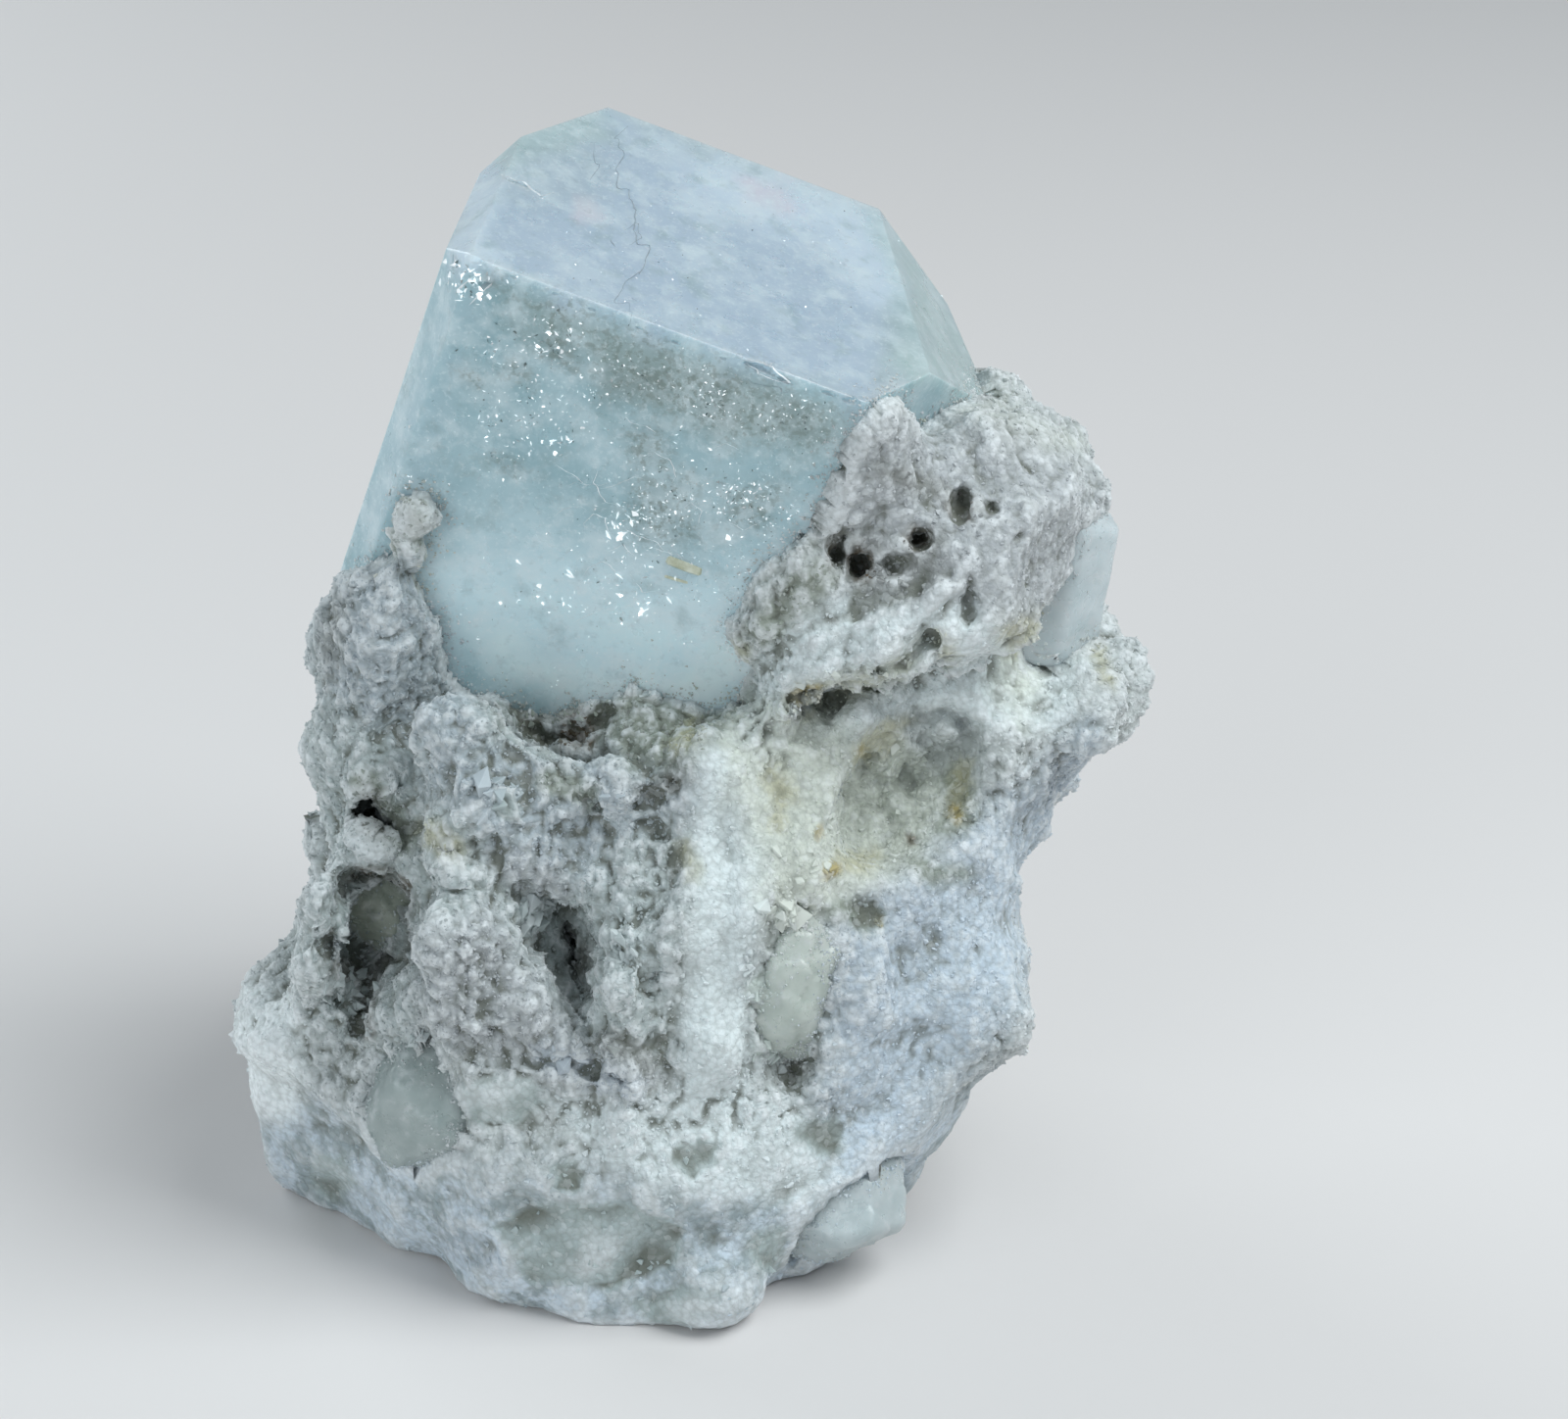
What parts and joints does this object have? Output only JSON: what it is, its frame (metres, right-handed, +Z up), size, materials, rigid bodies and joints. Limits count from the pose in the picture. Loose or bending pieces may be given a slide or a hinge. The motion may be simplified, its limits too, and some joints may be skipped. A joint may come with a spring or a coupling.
{
  "type": "aquamarine crystal on matrix",
  "caption": "Stubby hexagonal aquamarine crystal with a flat top, leaning out of a broken lump of sugary white feldspar matrix with cavities and glassy quartz grains.",
  "frame": {"origin": "on the flat broken base that the specimen rests on, under the crystal's top face", "axes": "+Z up, -Y towards the side that shows the crystal's wide front face, +X to the right of that side"},
  "size_m": [0.0325, 0.0247, 0.0389],
  "materials": {
    "aquamarine": "glossy flat faces, milky pale blue inside",
    "side_quartz": "glossy, cloudy grey-blue",
    "feldspar": "rough, sugary",
    "glassy_quartz": "broken, glassy, cloudy grey-green"
  },
  "bodies": {
    "root": {"aquamarine_crystal": "aquamarine", "side_crystal": "side_quartz", "matrix": "feldspar", "quartz_grain_left": "glassy_quartz", "quartz_grain_right": "glassy_quartz", "quartz_grain_vein": "glassy_quartz", "quartz_grain_hollow": "glassy_quartz"}
  },
  "joints": []
}
